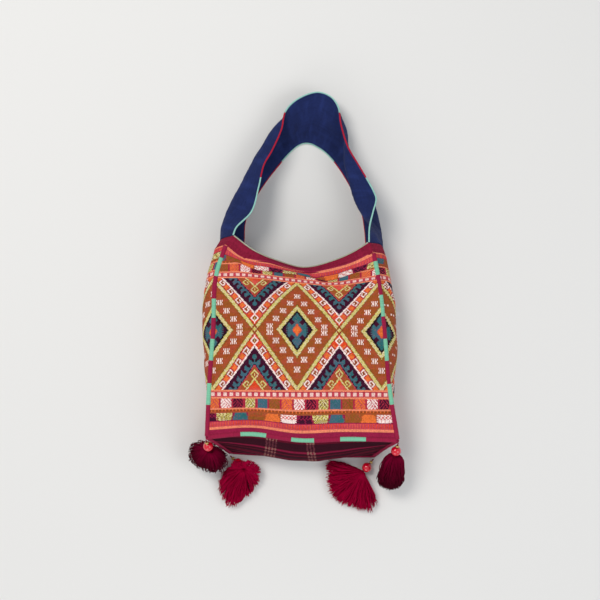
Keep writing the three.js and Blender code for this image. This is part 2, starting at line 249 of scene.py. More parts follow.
def add_object(name, points, faces, tint, weave):
    """A smooth mesh with a colour for each face and a place on the cloth or yarn for each point."""
    mesh = bpy.data.meshes.new(name)
    faces = faces.tolist() if isinstance(faces, np.ndarray) else faces
    mesh.from_pydata((np.asarray(points) * MM).tolist(), [], faces)
    colours = mesh.attributes.new("tint", "FLOAT_COLOR", "FACE")
    colours.data.foreach_set("color", np.ascontiguousarray(tint, dtype=np.float32).ravel())
    places = mesh.attributes.new("weave", "FLOAT_VECTOR", "POINT")
    places.data.foreach_set("vector", np.ascontiguousarray(weave, dtype=np.float32).ravel())
    mesh.polygons.foreach_set("use_smooth", np.ones(len(mesh.polygons), bool))
    mesh.update()
    return linked(name, mesh)


def shaded(colour, shade):
    """One colour or many, made lighter or darker place by place."""
    tint = colour * shade[..., None]
    tint[..., 3] = 1
    return tint


def weave_places(across, along):
    return np.stack(np.broadcast_arrays(across, along, 0.0), axis=-1)


def grid_normals(grid):
    return unit(np.cross(np.gradient(grid, axis=1), np.gradient(grid, axis=0)))


def middles(grid):
    """The value or point at the middle of each cell of a grid."""
    return (grid[:-1, :-1] + grid[1:, :-1] + grid[:-1, 1:] + grid[1:, 1:]) / 4


def quads(near, far, flipped=False):
    """Faces between rows of point numbers, each row closed on itself."""
    corners = [near, np.roll(near, -1, -1), np.roll(far, -1, -1), far]
    if flipped:
        corners = corners[:1] + corners[:0:-1]
    return np.stack(corners, axis=-1).reshape(-1, 4)


def cloth_object(name, grid, weave, outer, inner, thickness=CLOTH, keep=None, lift=0.0):
    """A closed sheet round a grid of points, with face colours for its two sides; keep picks its cells."""
    rows, columns = grid.shape[:2]
    normals = grid_normals(grid)
    outside = grid + normals * (np.zeros((rows, columns)) + thickness / 2 + lift)[..., None]
    inside = grid - normals * thickness / 2
    keep = np.ones((rows - 1, columns - 1), bool) if keep is None else keep
    number = np.arange(rows * columns).reshape(rows, columns)
    corners = [number[:-1, :-1], number[:-1, 1:], number[1:, 1:], number[1:, :-1]]
    front = np.stack([c[keep] for c in corners], axis=1)
    back = front[:, ::-1] + rows * columns
    edges = np.vstack([front[:, [k, (k + 1) % 4]] for k in range(4)])
    owner = np.tile(np.arange(len(front)), 4)
    keys = edges.min(axis=1) * (rows * columns) + edges.max(axis=1)
    _, first, counts = np.unique(keys, return_index=True, return_counts=True)
    rim = first[counts == 1]
    a, b = edges[rim, 0], edges[rim, 1]
    walls = np.stack([b, a, a + rows * columns, b + rows * columns], axis=1)
    faces = np.vstack([front, back, walls])
    tint = np.vstack([outer[keep], inner[keep], outer[keep][owner[rim]]])
    points = np.vstack([outside.reshape(-1, 3), inside.reshape(-1, 3)])
    places = np.vstack([weave.reshape(-1, 3), weave.reshape(-1, 3)])
    used, compact = np.unique(faces, return_inverse=True)
    return add_object(name, points[used], compact.reshape(faces.shape), tint, places[used])


def tube(line, radii, sides):
    """Rings of points round a line, with the faces between them and the ring at each end."""
    along = unit(np.gradient(line, axis=0))
    side = np.cross([0.0, 0.0, 1.0], along[0])
    across = np.zeros_like(line)
    for k, direction in enumerate(along):
        side = unit(side - direction * np.dot(side, direction))
        across[k] = side
    up = np.cross(along, across)
    angles = round_angles(sides)
    radii = np.broadcast_to(np.asarray(radii, float), (len(line), sides))
    ring = np.cos(angles)[None, :, None] * across[:, None] + np.sin(angles)[None, :, None] * up[:, None]
    points = (line[:, None] + ring * radii[..., None]).reshape(-1, 3)
    number = np.arange(len(line) * sides).reshape(len(line), sides)
    return points, quads(number[:-1], number[1:]), [number[0, ::-1], number[-1]]


def wrapped_yarn(name, curve, radius, pitch, colour_at, cut=0.0, sides=14, step=0.66):
    """An edge overcast with yarn: a ridge for each stitch winds round the curve, cut short at both ends."""
    count = max(int(curve.length / step), 8)
    share = np.linspace(cut / curve.length, 1 - cut / curve.length, count)
    line = curve.at(share)
    reach = share[:, None] * curve.length
    angles = round_angles(sides)[None]
    wobble = crumple(reach, 0 * angles, len(name), longest=40, shortest=6)
    turn = reach / pitch + angles / (2 * math.pi) + 0.2 * wobble
    ridge = np.abs(np.sin(math.pi * turn)) ** 0.6
    points, faces, ends = tube(line, radius * (0.8 + 0.2 * ridge + 0.07 * wobble), sides)
    centre = len(points)
    points = np.vstack([points, line[:1], line[-1:]])
    caps = []
    for number, ring in enumerate(ends):
        caps += [[ring[k], ring[(k + 1) % sides], centre + number] for k in range(sides)]
    colours = colour_at(line[:-1])
    tint = np.repeat(np.vstack([colours, colours[:1], colours[-1:]]), sides, axis=0)
    weave = weave_places(reach, angles * radius).reshape(-1, 3)
    weave = np.vstack([weave, weave[:1], weave[-1:]])
    return add_object(name, points, faces.tolist() + caps, tint, weave)


# The lines that the shell is stretched between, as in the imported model

def level_curve(z, *points):
    return Curve([(x, y, z) for x, y in points])


# A foot is a bottom corner of the front panel, and a heel one of the back panel. The mouth's corners are the
# front left, front right, back left and back right.
FOOT_LEFT, FOOT_RIGHT = (-150, -147), (151, -152)
HEEL_LEFT, HEEL_RIGHT = (-118, -182), (118, -188)
MOUTH_CORNERS = [(-109, 171, DEPTH), (106, 160, DEPTH), (-99, 126, GROUND_SEAM), (104, 115, GROUND_SEAM)]
FRONT_LEFT = level_curve(DEPTH, FOOT_LEFT, (-146, -60), (-140, 22), (-136, 105), (-120, 157))
FRONT_RIGHT = level_curve(DEPTH, FOOT_RIGHT, (137, -60), (130, 22), (122, 95), (113, 145))
FRONT_BOTTOM = level_curve(DEPTH, FOOT_LEFT, (-82, -142), (0, -152), (72, -150), FOOT_RIGHT)
BACK_LEFT = level_curve(GROUND_SEAM, HEEL_LEFT, (-124, -100), (-126, 0), (-104, 110))
BACK_RIGHT = level_curve(GROUND_SEAM, HEEL_RIGHT, (126, -100), (126, 0), (107, 99))
BACK_BOTTOM = level_curve(GROUND_SEAM, HEEL_LEFT, (-50, -186), (50, -188), HEEL_RIGHT)
CORNER_LEFT = Curve([(*FOOT_LEFT, DEPTH), (-134, -163, 46), (*HEEL_LEFT, GROUND_SEAM)])
CORNER_RIGHT = Curve([(*FOOT_RIGHT, DEPTH), (135, -168, 46), (*HEEL_RIGHT, GROUND_SEAM)])
MOUTH_FRONT = Curve([
    MOUTH_CORNERS[0], (-76, 147, 78), (-38, 131, 63), (4, 121, 54),
    (49, 131, 63), (82, 145, 78), MOUTH_CORNERS[1],
])
MOUTH_BACK = Curve([
    MOUTH_CORNERS[2], (-52, 92, GROUND_SEAM), (3, 76, GROUND_SEAM), (56, 86, GROUND_SEAM), MOUTH_CORNERS[3],
])
MOUTH_LEFT = Curve([MOUTH_CORNERS[0], (-129, 165, 62), (-128, 147, 27), MOUTH_CORNERS[2]])
MOUTH_RIGHT = Curve([MOUTH_CORNERS[1], (126, 157, 62), (130, 141, 30), MOUTH_CORNERS[3]])


def lowered(upper, start, end):
    """The hem's lower edge: the mouth's line moved down to where each end has to be."""
    share = np.linspace(0, 1, 13)[:, None]
    line = upper.at(share[:, 0])
    drop = (start.points[-1] - line[0]) * (1 - share) + (end.points[-1] - line[-1]) * share
    return Curve(line + drop)


HEM_X = [-150, -118, -102, -76, -50, -28, -3, 20, 38, 60, 79, 95, 122]
HEM_PULL = [0, -1.5, -4.0, 3.0, 9.5, 9.5, 8.0, 5.0, 4.0, 2.5, 1.0, 0.5, 0]


def leaning(band):
    """The front hem's lower edge, pulled up and outward where the hem stands nearly upright."""
    line = band.at(np.linspace(0, 1, 33))
    pull = smooth_table(HEM_X, HEM_PULL, line[:, 0])
    line[:, 1] += pull
    line[:, 2] += 0.7 * np.sqrt(np.clip(HEM_ROLL**2 - (HEM_ROLL - pull) ** 2, 0, None))
    return Curve(line, spans=8)


BAND_FRONT = leaning(lowered(MOUTH_FRONT, FRONT_LEFT, FRONT_RIGHT))
BAND_BACK = lowered(MOUTH_BACK, BACK_LEFT, BACK_RIGHT)
BAND_LEFT = lowered(MOUTH_LEFT, FRONT_LEFT, BACK_LEFT)
BAND_RIGHT = lowered(MOUTH_RIGHT, FRONT_RIGHT, BACK_RIGHT)


def read_line(curve, by, wanted, column):
    """One coordinate of a line, read by another coordinate that it climbs steadily."""
    order = np.argsort(curve.dense[:, by])
    return np.interp(wanted, curve.dense[order, by], curve.dense[order, column])


def across_at(curve, y):
    return read_line(curve, 1, y, 0)


def along_at(curve, x):
    return read_line(curve, 0, x, 1)


# The pattern of the brocade, in cells: x counts from the large diamond's middle, row from the bottom edge

CROSSES = np.array([[mark == "#" for mark in row] for row in (
    "#.#.#.#",
    "#.#.#.#",
    ".##.##.",
    ".##.##.",
    "#.#.#.#",
    "#.#.#.#",
)])
WEFT_COLOURS = ["white", "plum", "yellow_green", "teal", "rust", "orange"]
RIB_COLOURS = ["rose", "crimson", "olive", "blue", "olive", "rose"]


def within(low, value, high):
    return (value > low) & (value < high)


def crosses_at(x, y, centre_x, centre_y):
    rows, columns = CROSSES.shape
    i = np.floor(x - centre_x + columns / 2).astype(int)
    j = np.floor(centre_y - y + rows / 2).astype(int)
    inside = (i >= 0) & (i < columns) & (j >= 0) & (j < rows)
    return inside & CROSSES[np.clip(j, 0, rows - 1), np.clip(i, 0, columns - 1)]


def curl(along, away):
    """A squared spiral on a line: a post, a roof, a side that comes back and an end that turns in."""
    post = within(2.2, along, 3.5) & (away > 0)
    roof = within(-3.2, along, 3.5) & (away > 5.4)
    side = within(-3.2, along, -1.9) & (away > 1.9)
    end = within(-3.2, along, 0.7) & within(1.9, away, 3.1)
    return (post | roof | side | end) & (away < 6.7)


def painted(ground, shape):
    """Cells of one colour, and the function that paints others over them."""
    code = np.full(shape, CODE[ground])

    def paint(where, name):
        code[where] = CODE[name]
    return code, paint


def field_pattern(x, row):
    """Large diamonds that touch, with triangles between them that carry hooked and toothed borders."""
    dx = np.abs((x + HALF_WIDTH) % (2 * HALF_WIDTH) - HALF_WIDTH)
    dy = np.abs(row - CROSSING)
    share = dx / HALF_WIDTH + dy / HALF_HEIGHT
    inset = HALF_WIDTH * (1 - share)
    aside = HALF_WIDTH - dx
    code, paint = painted("rust", x.shape)

    # Crosses, the inner line and the centre of a large diamond
    paint(crosses_at(dx, dy, 31, 3.2), "white")
    for k in range(4):
        paint(crosses_at(dx, dy, 8 * k, 42.5 - 10.05 * k), "white")
    paint(share < 0.5, "olive")
    paint(share < 0.481, "yellow_green")
    paint(share < 0.381, "dark")
    centre = share < 0.35
    paint(centre, "teal")
    paint(centre & (np.abs(dx - 5.9) / 3.2 + np.abs(dy - 8.9) / 4.0 < 1), "plum")
    paint(centre & (dx > 12.2 - 1.6 * (dy % 2 < 1)), "plum")
    paint(centre & (share > 0.325), "dark")
    paint(dx / 5.6 + dy / 7.4 < 1, "orange_red")
    paint(dx / 4.2 + dy / 6.2 < 1, "orange")

    # The border with hooks, measured along its white line and away from it
    paint(within(2.2, inset, 3.3), "olive")
    paint(inset < -2.2, "brown")
    border = inset < -3.4
    paint(border, "orange_red")
    rise = dy - 17.6
    along = 0.625 * aside + 0.781 * rise
    away = 0.781 * aside - 0.625 * rise
    turn = (along - 2.4) % HOOK_PITCH - HOOK_PITCH / 2
    border &= along > 3
    paint(border & within(-4.4, turn, 4.4) & within(-1, away, 7.4), "crimson")
    paint(border & within(-1.8, turn, 2.6) & within(0, away, 5.6), "brown")
    paint(border & (np.abs(turn) > 4.6) & within(2, away, 6), "orange")
    paint(border & curl(turn, away), "white")

    # The triangle inside it, with teal teeth
    inside = (away < 0.85) & (dy > 17)
    paint(inside, "white")
    paint(inside & (away < -0.85), "plum")
    tooth = (along / TOOTH_PITCH) % 1
    teal = inside & (away < -4.0 - 3.0 * tooth)
    paint(teal, "teal")
    paint(teal & (tooth > 0.58) & (away > -9.6), "plum")
    paint(teal & within(0.72, tooth, 0.94) & within(-9.0, away, -6.6), "dark")
    paint(teal & within(0.16, tooth, 0.4) & (away < -10.6), "plum")

    # The rust corner with a small diamond on two curling legs
    inner = aside - (dy - 37.3) / 1.35
    paint(inside & (inner < 1.6) & (dy > 36), "plum")
    corner = inside & (inner < 0.5) & (dy > 37)
    paint(corner, "rose")
    corner &= inner < -0.6
    paint(corner, "rust")
    paint(corner & (aside < 0.8 * (dy - 53.4)), "orange_red")
    small = aside / 4.6 + np.abs(dy - 46.8) / 5.2
    paint(corner & (small < 1.1) & ((small > 0.7) | (small < 0.24)), "yellow_green")
    low = dy - 51.4
    leg = 0.775 * aside - 0.632 * low
    paint(corner & (low > 0) & (np.abs(leg) < 0.75), "yellow_green")
    paint(corner & (leg > 0) & curl(0.632 * aside + 0.775 * low - 10.2, leg), "yellow_green")

    # The white node at the border's tip, the large diamond's outline and the knot where two meet
    node = aside / 3.9 + np.abs(dy - 12.4) / 4.9
    paint(node < 1.15, "white")
    paint(node < 0.68, "brown")
    paint(node < 0.3, "yellow_green")
    paint(np.abs(inset) < 2.2, "yellow_green")
    knot = aside / 2.4 + dy / 2.6
    paint(knot < 2.0, "brown")
    paint(knot < 1, "yellow_green")
    return code


def border_pattern(x, row, squares_x, trapezoids_x):
    """The rows of squares and trapezoids between a field and an edge; row counts from the edge."""
    code, paint = painted("magenta", x.shape)

    def stripe(low, high, name, where=True):
        """Paints some of the rows from low to high and says which those are."""
        band = (row >= low) & (row < high)
        paint(band & where, name)
        return band

    for low, high, name in (
        (8, 10.6, "coral"), (11, 16.5, "rose"), (26.6, 28.6, "rust"), (28.6, 30.6, "orange"),
        (30.6, 32.4, "coral"), (43.8, 45.6, "coral"), (45.6, 51, "rose"), (51, 52, "crimson"),
        (52, 54, "coral"),
    ):
        stripe(low, high, name)
    stripe(11.6, 16.5, "orange_red", x % 3 < 1)
    stripe(28.6, 30.6, "brown", x % 4 < 2.4)
    dash = np.abs((x % 7 - 2.5) / 2.5) ** 3 + np.abs((row - 48.5) / 1.9) ** 3
    stripe(46.6, 50.4, "pale_pink", dash < 1.0)
    place = (trapezoids_x + 9.5) / TRAPEZOID_PITCH
    n = np.floor(place + 0.5)
    offset = np.abs(place - n) * TRAPEZOID_PITCH
    half = np.where(n % 2 == 0, 7.6 + (row - 18) * 0.34, 9.2 - (row - 18) * 0.34)
    trapezoid = offset < half + 0.8 * np.sin(row * 2.4)
    trapezoid &= stripe(17.6, 26.6, "rust", ~trapezoid & (n % 6 >= 4))
    for k, name in enumerate(WEFT_COLOURS):
        paint(trapezoid & (n % 6 == k), name)
    lozenge = (np.abs(offset % 4 - 2) + np.abs((row - 0.6) % 4.6 - 2.3)) % 2
    for k, name, broad in ((0, "pink", 0.6), (2, "olive", 0.6), (1, "magenta", 0.5), (4, "olive", 0.5)):
        paint(trapezoid & (n % 6 == k) & (lozenge < broad), name)
    place = (squares_x + 3.5) / SQUARE_PITCH
    n = np.floor(place)
    across = (place - n) * SQUARE_PITCH
    square = across < 11.6
    square &= stripe(32.8, 43.8, "crimson", ~square)
    slope = np.where(across + (row - 38) < 6.4, across * 1.2 - row, across * 1.2 + row)
    for k, (name, rib) in enumerate(zip(WEFT_COLOURS, RIB_COLOURS)):
        paint(square & (n % 6 == k), name)
        paint(square & (n % 6 == k) & (slope % 4.2 < 1.3), rib)
    return code


def pattern(x, row):
    """Colour codes for whole cells. The band at the mouth is the one at the bottom, mirrored and shifted."""
    low = border_pattern(x, row, x, x)
    high = border_pattern(x, 2 * CROSSING - row, 1.107 * x - 15.2, 1.141 * x - 72.6)
    code = np.where(row < CROSSING, low, high)
    field = (row >= FIELD_START) & (row <= FIELD_END)
    code[field] = field_pattern(x, row)[field]
    return code


def dyed(code, seed):
    """Colours for cells: each stitch differs a little, and the dye drifts over the cloth."""
    random = np.random.default_rng(seed)
    rows, columns = code.shape
    j, i = np.mgrid[0.0:rows, 0.0:columns]
    drift = crumple(i, j, seed + 1, longest=70, shortest=9)
    streak = random.normal(0, 1, (rows, 1)) * 0.035 + random.normal(0, 1, (1, columns)) * 0.02
    speck = random.normal(0, 0.11, code.shape) + 0.06 * ((i + j) % 2 - 0.5)
    colour = shaded(COLOURS[code], np.clip(1 + speck + streak + 0.07 * drift, 0.5, 1.45))

    def show(name, woven, share):
        """Lets a second colour show in one woven colour."""
        share = np.where(code == CODE[woven], share, 0)[..., None]
        colour[:] = colour * (1 - share) + PALETTE[name] * share

    def clouds(number, least, gain, most, longest, shortest):
        return np.clip(least + gain * crumple(i, j, seed + number, longest, shortest), 0, most)

    show("olive", "rust", np.clip(0.15 + 0.45 * drift + random.normal(0, 0.18, code.shape), 0, 0.6))
    show("pink", "orange_red", clouds(3, 0.1, 1.1, 0.8, 26, 5))
    show("orange", "orange_red", clouds(4, -0.1, 1.1, 0.7, 22, 5))
    show("blue", "teal", clouds(2, 0.35, 0.6, 0.9, 45, 8))
    show("rose", "rust", clouds(5, 0.06, 0.5, 0.22, 14, 4))
    show("rose", "teal", np.where(random.uniform(0, 1, code.shape) < 0.1, 0.2, 0))
    show("white", "yellow_green", np.clip(random.uniform(-0.3, 0.55, code.shape), 0, 1))
    return colour


def brocade(name, grid, columns, seed, keep=None):
    """A brocaded sheet; columns number the cells across it, and the rows count from its bottom edge."""
    count, width = grid.shape[:2]
    code = pattern(*np.broadcast_arrays(columns[None].astype(float), np.arange(count - 1.0)[:, None]))
    colour = dyed(code, seed)
    reverse = colour * 0.35 + (PALETTE["magenta"] + PALETTE["plum"]) * 0.325
    weave = weave_places(np.arange(width)[None], np.arange(count)[:, None])
    lift = middles(np.pad(LIFTS[code], 1, mode="edge"))
    return cloth_object(name, grid, weave, colour, reverse, keep=keep, lift=lift)


def between_seams(grid, left, right):
    """Which cells of a grid lie between two side seams."""
    middle = middles(grid)
    x, y = middle[..., 0], middle[..., 1]
    return within(across_at(left, y), x, across_at(right, y))


# The front panel

def from_photo(row, z):
    """A line of the photograph as a place along the bag, for what lies at a height above the ground."""
    return 69.5 - (row - 300) * (1.658 - 0.000918 * z)


# Where some rows of the weave lie in the photograph, for columns across the panel
FRONT_ROWS = [0.0, 54.0, 117.0, 180.0]
FRONT_COLUMNS = [
    [-150.0, -75.7, -7.7, 58.6, 151.0],
    [-147.0, -75.7, -7.7, 58.6, 143.0],
    [-141.0, -75.7, -7.7, 58.6, 131.0],
    [-137.0, -75.7, -7.7, 58.6, 123.0],
]
FRONT_PHOTO_LINES = [
    [437.0, 434.0, 440.5, 439.0, 440.0],
    [390.0, 390.0, 390.0, 390.0, 390.5],
    [332.0, 329.5, 330.5, 331.0, 333.0],
    [279.0, 279.3, 284.0, 286.3, 281.0],
]

# The fold under the mouth: its line in the photograph and the rows of the weave that it hides
FOLD_X = [-150, -118, -102, -76, -50, -28, -3, 9, 20, 38, 60, 79, 95, 108, 122]
FOLD_PHOTO = [262, 262, 262.5, 268.5, 271, 272.5, 274.2, 276, 278, 280, 277.5, 273.5, 271.5, 269.5, 267]
FOLD_LOW = [206, 206, 204.5, 201, 200.5, 200, 200.5, 199, 196, 198, 201.5, 202.5, 204, 205, 206]
FOLD_HIGH = [206.5, 207, 208, 209, 209, 209, 210, 213, 217, 212, 208.5, 207.5, 207, 206.5, 206.5]
FOLD_HEIGHT = 66


def front_height(u, w):
    """Height of the front cloth, for u across from seam to seam and w along from the bottom to the hem."""
    u, w = np.clip(u, 0, 1), np.clip(w, 0, 1)
    sag = DEPTH - BAND_FRONT.at(u)[..., 2]
    return DEPTH - sag * w**1.15 + 12 * np.sin(math.pi * u) * np.sin(math.pi * w) ** 0.85


def front_grid(x, q):
    """Points of the front cloth. Near the mouth it is folded over itself along a line across the panel."""
    lines = np.stack([smooth_table(*rows, x) for rows in zip(FRONT_COLUMNS, FRONT_PHOTO_LINES)])
    band = along_at(BAND_FRONT, x)
    bottom = from_photo(lines[0], DEPTH)
    fold = np.minimum(from_photo(smooth_table(FOLD_X, FOLD_PHOTO, x), FOLD_HEIGHT), band - 1.5)
    low = smooth_table(FOLD_X, FOLD_LOW, x)
    high = smooth_table(FOLD_X, FOLD_HIGH, x)
    points = np.zeros((len(q), len(x), 3))
    for i in range(len(x)):
        places = from_photo(lines[:, i], np.array([DEPTH, 92.0, 94.0, 76.0]))
        lower = smooth_table([*FRONT_ROWS, low[i]], [*places, fold[i]], q)
        shares = fold[i] + (band[i] - fold[i]) * np.array([0.0, 0.42, 0.74, 1.0])
        upper = np.interp(q, [high[i], 217.4, 223.4, CLOTH_END, CLOTH_END + 8], [*shares, band[i] + 9])
        hidden = within(low[i], q, high[i])
        reach = (high[i] - low[i]) * CELL / 2
        share = np.clip((q - low[i]) / max(high[i] - low[i], 1e-6), 0, 1)
        dip = reach * (1 - np.abs(2 * share - 1)) * hidden
        y = np.where(q <= low[i], lower, np.where(q < high[i], fold[i], upper)) + 0.3 * dip
        visible = np.where(hidden, fold[i], y)
        left, right = across_at(FRONT_LEFT, visible), across_at(FRONT_RIGHT, visible)
        z = front_height((x[i] - left) / (right - left), (visible - bottom[i]) / (band[i] - bottom[i]))
        room = ease(0, 8, reach)
        sink = 3.2 * room * ease(low[i] - 26, low[i], q) * (1 - share)
        over = 1.2 * room * np.exp(-((q - high[i] - 1) / 2.0) ** 2) * (q >= low[i] + 3)
        points[:, i, 0] = x[i]
        points[:, i, 1] = y - over
        points[:, i, 2] = z - sink - 0.95 * dip
    wave = crumple(points[..., 0], points[..., 1], 11, longest=150, shortest=35)
    calm = ease(0, 0.25, (points[..., 1] - bottom[None]) / 200)
    points[..., 2] += 1.6 * wave * calm * ease(0, 30, 150 - np.abs(points[..., 0]))
    for _ in range(2):
        points[1:-1] = (points[:-2] + 2 * points[1:-1] + points[2:]) / 4
    return points


def column_edges(columns):
    """The places across the panel of the edges of the weave's columns."""
    return PATTERN_CENTRE + (np.append(columns, columns[-1] + 1) - 0.5) * CELL


def front_panel():
    columns = np.arange(-106, 118)
    grid = front_grid(column_edges(columns), np.arange(CLOTH_END + 4))
    middle = middles(grid)
    keep = between_seams(grid, FRONT_LEFT, FRONT_RIGHT)
    keep &= middle[..., 1] < along_at(BAND_FRONT, middle[..., 0]) + 5
    return brocade("front_cloth", grid, columns, 21, keep)


def back_panel():
    """The same cloth, flat on the ground with its face down."""
    columns = np.arange(-92, 102)
    x = column_edges(columns)
    q = np.arange(CLOTH_END + 3)[:, None]
    low, high = along_at(BACK_BOTTOM, x), along_at(BAND_BACK, x)
    y = low + (high - low) * q / CLOTH_END
    z = 1.9 + 0.7 * crumple(x, y, 12, longest=120, shortest=30)
    grid = np.stack(np.broadcast_arrays(x, y, z), axis=-1)
    keep = between_seams(grid, BACK_LEFT, BACK_RIGHT)
    return brocade("back_cloth", grid[:, ::-1], columns[::-1], 22, keep[:, ::-1])


def swell(u, v):
    """From nothing at a panel's edges to one in its middle."""
    return np.sin(math.pi * u)[None] * np.sin(math.pi * v)[:, None]


def gusset(name, corner, band, front, back, bulge, first_cell, seam_places, seed):
    """A side of the bag. Its rows meet the front panel's rows at the seam."""
    cells = 62
    u = np.linspace(0, 1, cells + 1)
    order = np.argsort(front.dense[:, 1])
    y = smooth_table([*FRONT_ROWS, CLOTH_END], seam_places, np.arange(CLOTH_END + 1))
    v = np.interp(y, front.dense[order, 1], front.shares[order])
    v = np.clip((v - v[0]) / (v[-1] - v[0]), 0, 1)
    grid = stretched(corner, band, front, back, u, v, (bulge, 0, 0))
    wave = crumple(grid[..., 2], grid[..., 1], seed, longest=110, shortest=22)
    grid[..., 0] += 2.6 * wave * swell(u, v)
    columns = np.round(first_cell + math.copysign(1, bulge) * (np.arange(cells) + 0.5))
    if bulge < 0:
        grid, columns = grid[:, ::-1], columns[::-1]
    return brocade(name, grid, columns, seed)


def bottom_panel():
    """Plain cloth with dark stripes and two pale checked ones."""
    u = np.linspace(0, 1, 66)
    v = np.linspace(0, 1, 190)
    grid = stretched(CORNER_LEFT, CORNER_RIGHT, FRONT_BOTTOM, BACK_BOTTOM, u, v, (0, -20, 0))
    wave = crumple(grid[..., 0], grid[..., 2], 31, longest=110, shortest=24)
    grid[..., 1] += 2.2 * wave * swell(u, v)
    middle = (grid[:-1, :-1] + grid[1:, 1:]) / 2
    x = middle[..., 0] + 0.12 * (middle[..., 2] - 40) * np.sign(middle[..., 0])
    depth = u[None, :-1] * BOTTOM_DEPTH + 0 * x
    ribs = (np.sin(depth * 0.62) * 0.5 + np.sin(depth * 0.27 + 1) * 0.5)[..., None]
    base = np.where(ribs > 0.7, STRIPES[2], np.where(ribs > 0.1, STRIPES[1], STRIPES[0]))
    for low, high in ((-61.5, -44), (11.2, 25.5)):
        pale = (within(low, x, high) & ((x - low) % 5.0 < 3.0))[..., None]
        base = np.where(pale, np.where(ribs > 0.1, CHECKS[1], CHECKS[0]), base)
    random = np.random.default_rng(32)
    base = shaded(base, np.clip(1 + random.normal(0, 0.07, base.shape[:2]), 0.6, 1.4))
    weave = weave_places(u[None] * BOTTOM_DEPTH, v[:, None] * BOTTOM_WIDTH)
    return cloth_object("bottom_cloth", grid, weave, base, base * [0.8, 0.8, 0.8, 1])


# The hem round the mouth

def hem():
    """A band folded over the cloth's edge all the way round."""
    sides = [
        (MOUTH_FRONT, BAND_FRONT, 150),
        (MOUTH_RIGHT, BAND_RIGHT, 70),
        (MOUTH_BACK.reversed(), BAND_BACK.reversed(), 150),
        (MOUTH_LEFT.reversed(), BAND_LEFT.reversed(), 70),
    ]
    upper = np.vstack([high.at(np.arange(steps) / steps) for high, low, steps in sides])
    lower = np.vstack([low.at(np.arange(steps) / steps) for high, low, steps in sides])
    height = np.linalg.norm(lower - upper, axis=1)[:, None]
    down = unit(lower - upper)
    outward = unit(np.cross(down, np.roll(upper, -1, 0) - np.roll(upper, 1, 0)))
    for _ in range(6):
        outward = (np.roll(outward, 1, 0) + 2 * outward + np.roll(outward, -1, 0)) / 4
    outward = unit(outward)

    # The section, as a share of the hem's height from the mouth and a distance from its middle
    half = HEM_CLOTH / 2
    profile = [(1.0, -0.35), (0.985, half * 0.85)]
    profile += [(share, half * (1 + 0.1 * math.sin(5 * share))) for share in np.linspace(0.93, 0.08, 10)]
    profile += [(0.02, half * 0.8), (-0.02, 0.0), (0.02, -half * 0.8)]
    profile += [(share, -half) for share in np.linspace(0.08, 0.93, 6)]
    reach = distance_along(upper)
    points, weave = [], []
    for share, offset in profile:
        wave = 0.25 * crumple(reach, 0 * reach + 12 * share, 41, longest=40, shortest=8)
        extra = 1.0 if share > 0.95 else 0.0
        lift = outward * (offset + wave * (offset > 0))[:, None]
        points.append(upper + down * (height * share + extra) + lift)
        weave.append(weave_places(reach, share * 16 * np.sign(offset + 1e-6)))
    count, around = len(reach), len(profile)
    number = np.arange(count * around).reshape(count, around)
    random = np.random.default_rng(42)
    shade = 1 + random.normal(0, 0.05, (count, 1)) + random.normal(0, 0.07, (count, around))
    shade += 0.2 * crumple(reach[:, None] * 0.3, 9.0 * np.arange(around)[None], 43, longest=50, shortest=14)
    tint = shaded(HEM_RED, np.clip(shade, 0.7, 1.4))
    points, weave = (np.stack(each, axis=1).reshape(-1, 3) for each in (points, weave))
    return add_object("hem", points, quads(number, np.roll(number, -1, 0)), tint.reshape(-1, 4), weave)


# Yarn along the seams, the mouth and the strap

def banded(axis, spans, inside, outside, seed):
    """What colours a yarn: one colour where it lies in a span of an axis, another elsewhere."""
    def colours(line):
        random = np.random.default_rng(seed)
        chosen = np.zeros(len(line), bool)
        for low, high in spans:
            chosen |= within(low, line[:, axis], high)
        return shaded(np.where(chosen[:, None], inside, outside), 1 + random.normal(0, 0.05, len(line)))
    return colours


def plain(colour):
    return lambda line: np.tile(colour, (len(line), 1))


# Each seam's curve, the axis that its mint stretches are measured on, and those stretches
SEAMS = {
    "front_seam_left": (FRONT_LEFT, 1, [(107, 136), (41, 71), (-26, 8), (-96, -62)]),
    "front_seam_right": (FRONT_RIGHT, 1, [(109, 130), (43, 77), (-27, 8), (-96, -63)]),
    "front_seam_bottom": (FRONT_BOTTOM, 0, [(-97, -57), (-17, 19), (60, 101)]),
    "back_seam_left": (BACK_LEFT, 1, [(52, 84), (-18, 16), (-86, -52), (-154, -120)]),
    "back_seam_right": (BACK_RIGHT, 1, [(48, 80), (-22, 12), (-90, -56), (-158, -124)]),
    "back_seam_bottom": (BACK_BOTTOM, 0, [(-18, 18)]),
    "corner_seam_left": (CORNER_LEFT, 2, []),
    "corner_seam_right": (CORNER_RIGHT, 2, []),
}


def seam(name, curve, axis, spans, seed):
    radius = GROUND_SEAM - 0.2 if name.startswith("back") else SEAM_RADIUS
    colours = banded(axis, spans, MINT, WINE, seed)
    return wrapped_yarn(name + "_yarn", curve, radius, 2.3, colours, cut=1.5)


